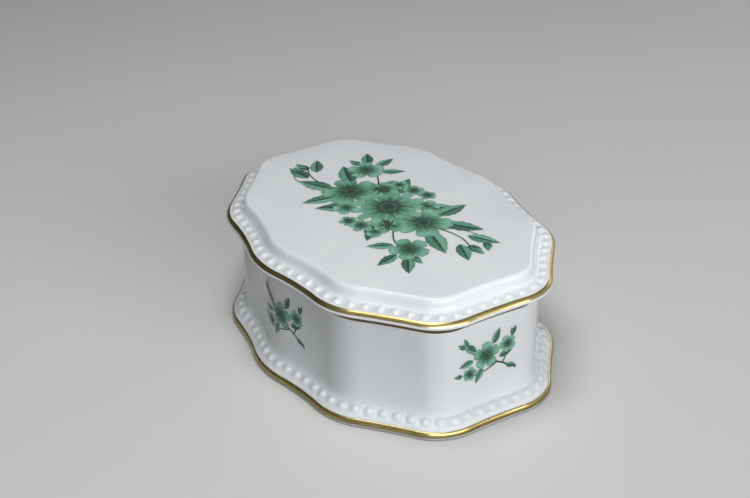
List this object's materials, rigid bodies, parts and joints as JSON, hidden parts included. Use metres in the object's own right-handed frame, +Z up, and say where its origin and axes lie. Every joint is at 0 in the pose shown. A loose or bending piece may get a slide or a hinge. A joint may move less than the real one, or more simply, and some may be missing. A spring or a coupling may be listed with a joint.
{
  "type": "porcelain box",
  "caption": "Lobed oval porcelain box with a lift-off lid, pearl beading round lid and foot, gilded edges and painted flower sprays.",
  "frame": {"origin": "on the table under the middle of the foot", "axes": "+X along the box, +Y across it, +Z up through the lid"},
  "size_m": [0.109, 0.0818, 0.0397],
  "materials": {
    "porcelain": "clear gloss glaze over cool white porcelain, painted with green flower sprays",
    "gilding": "burnished gold line, worn at the edges"
  },
  "bodies": {
    "box": {"box_body": "porcelain", "foot_edge_gilding": "gilding", "wall_line_gilding": "gilding"},
    "lid": {"lid": "porcelain", "lid_edge_gilding": "gilding"}
  },
  "joints": [
    {"name": "lid_lift", "type": "slide", "parent": "box", "child": "lid", "axis": [0, 0, 1], "range_m": [0, 0.06]}
  ]
}
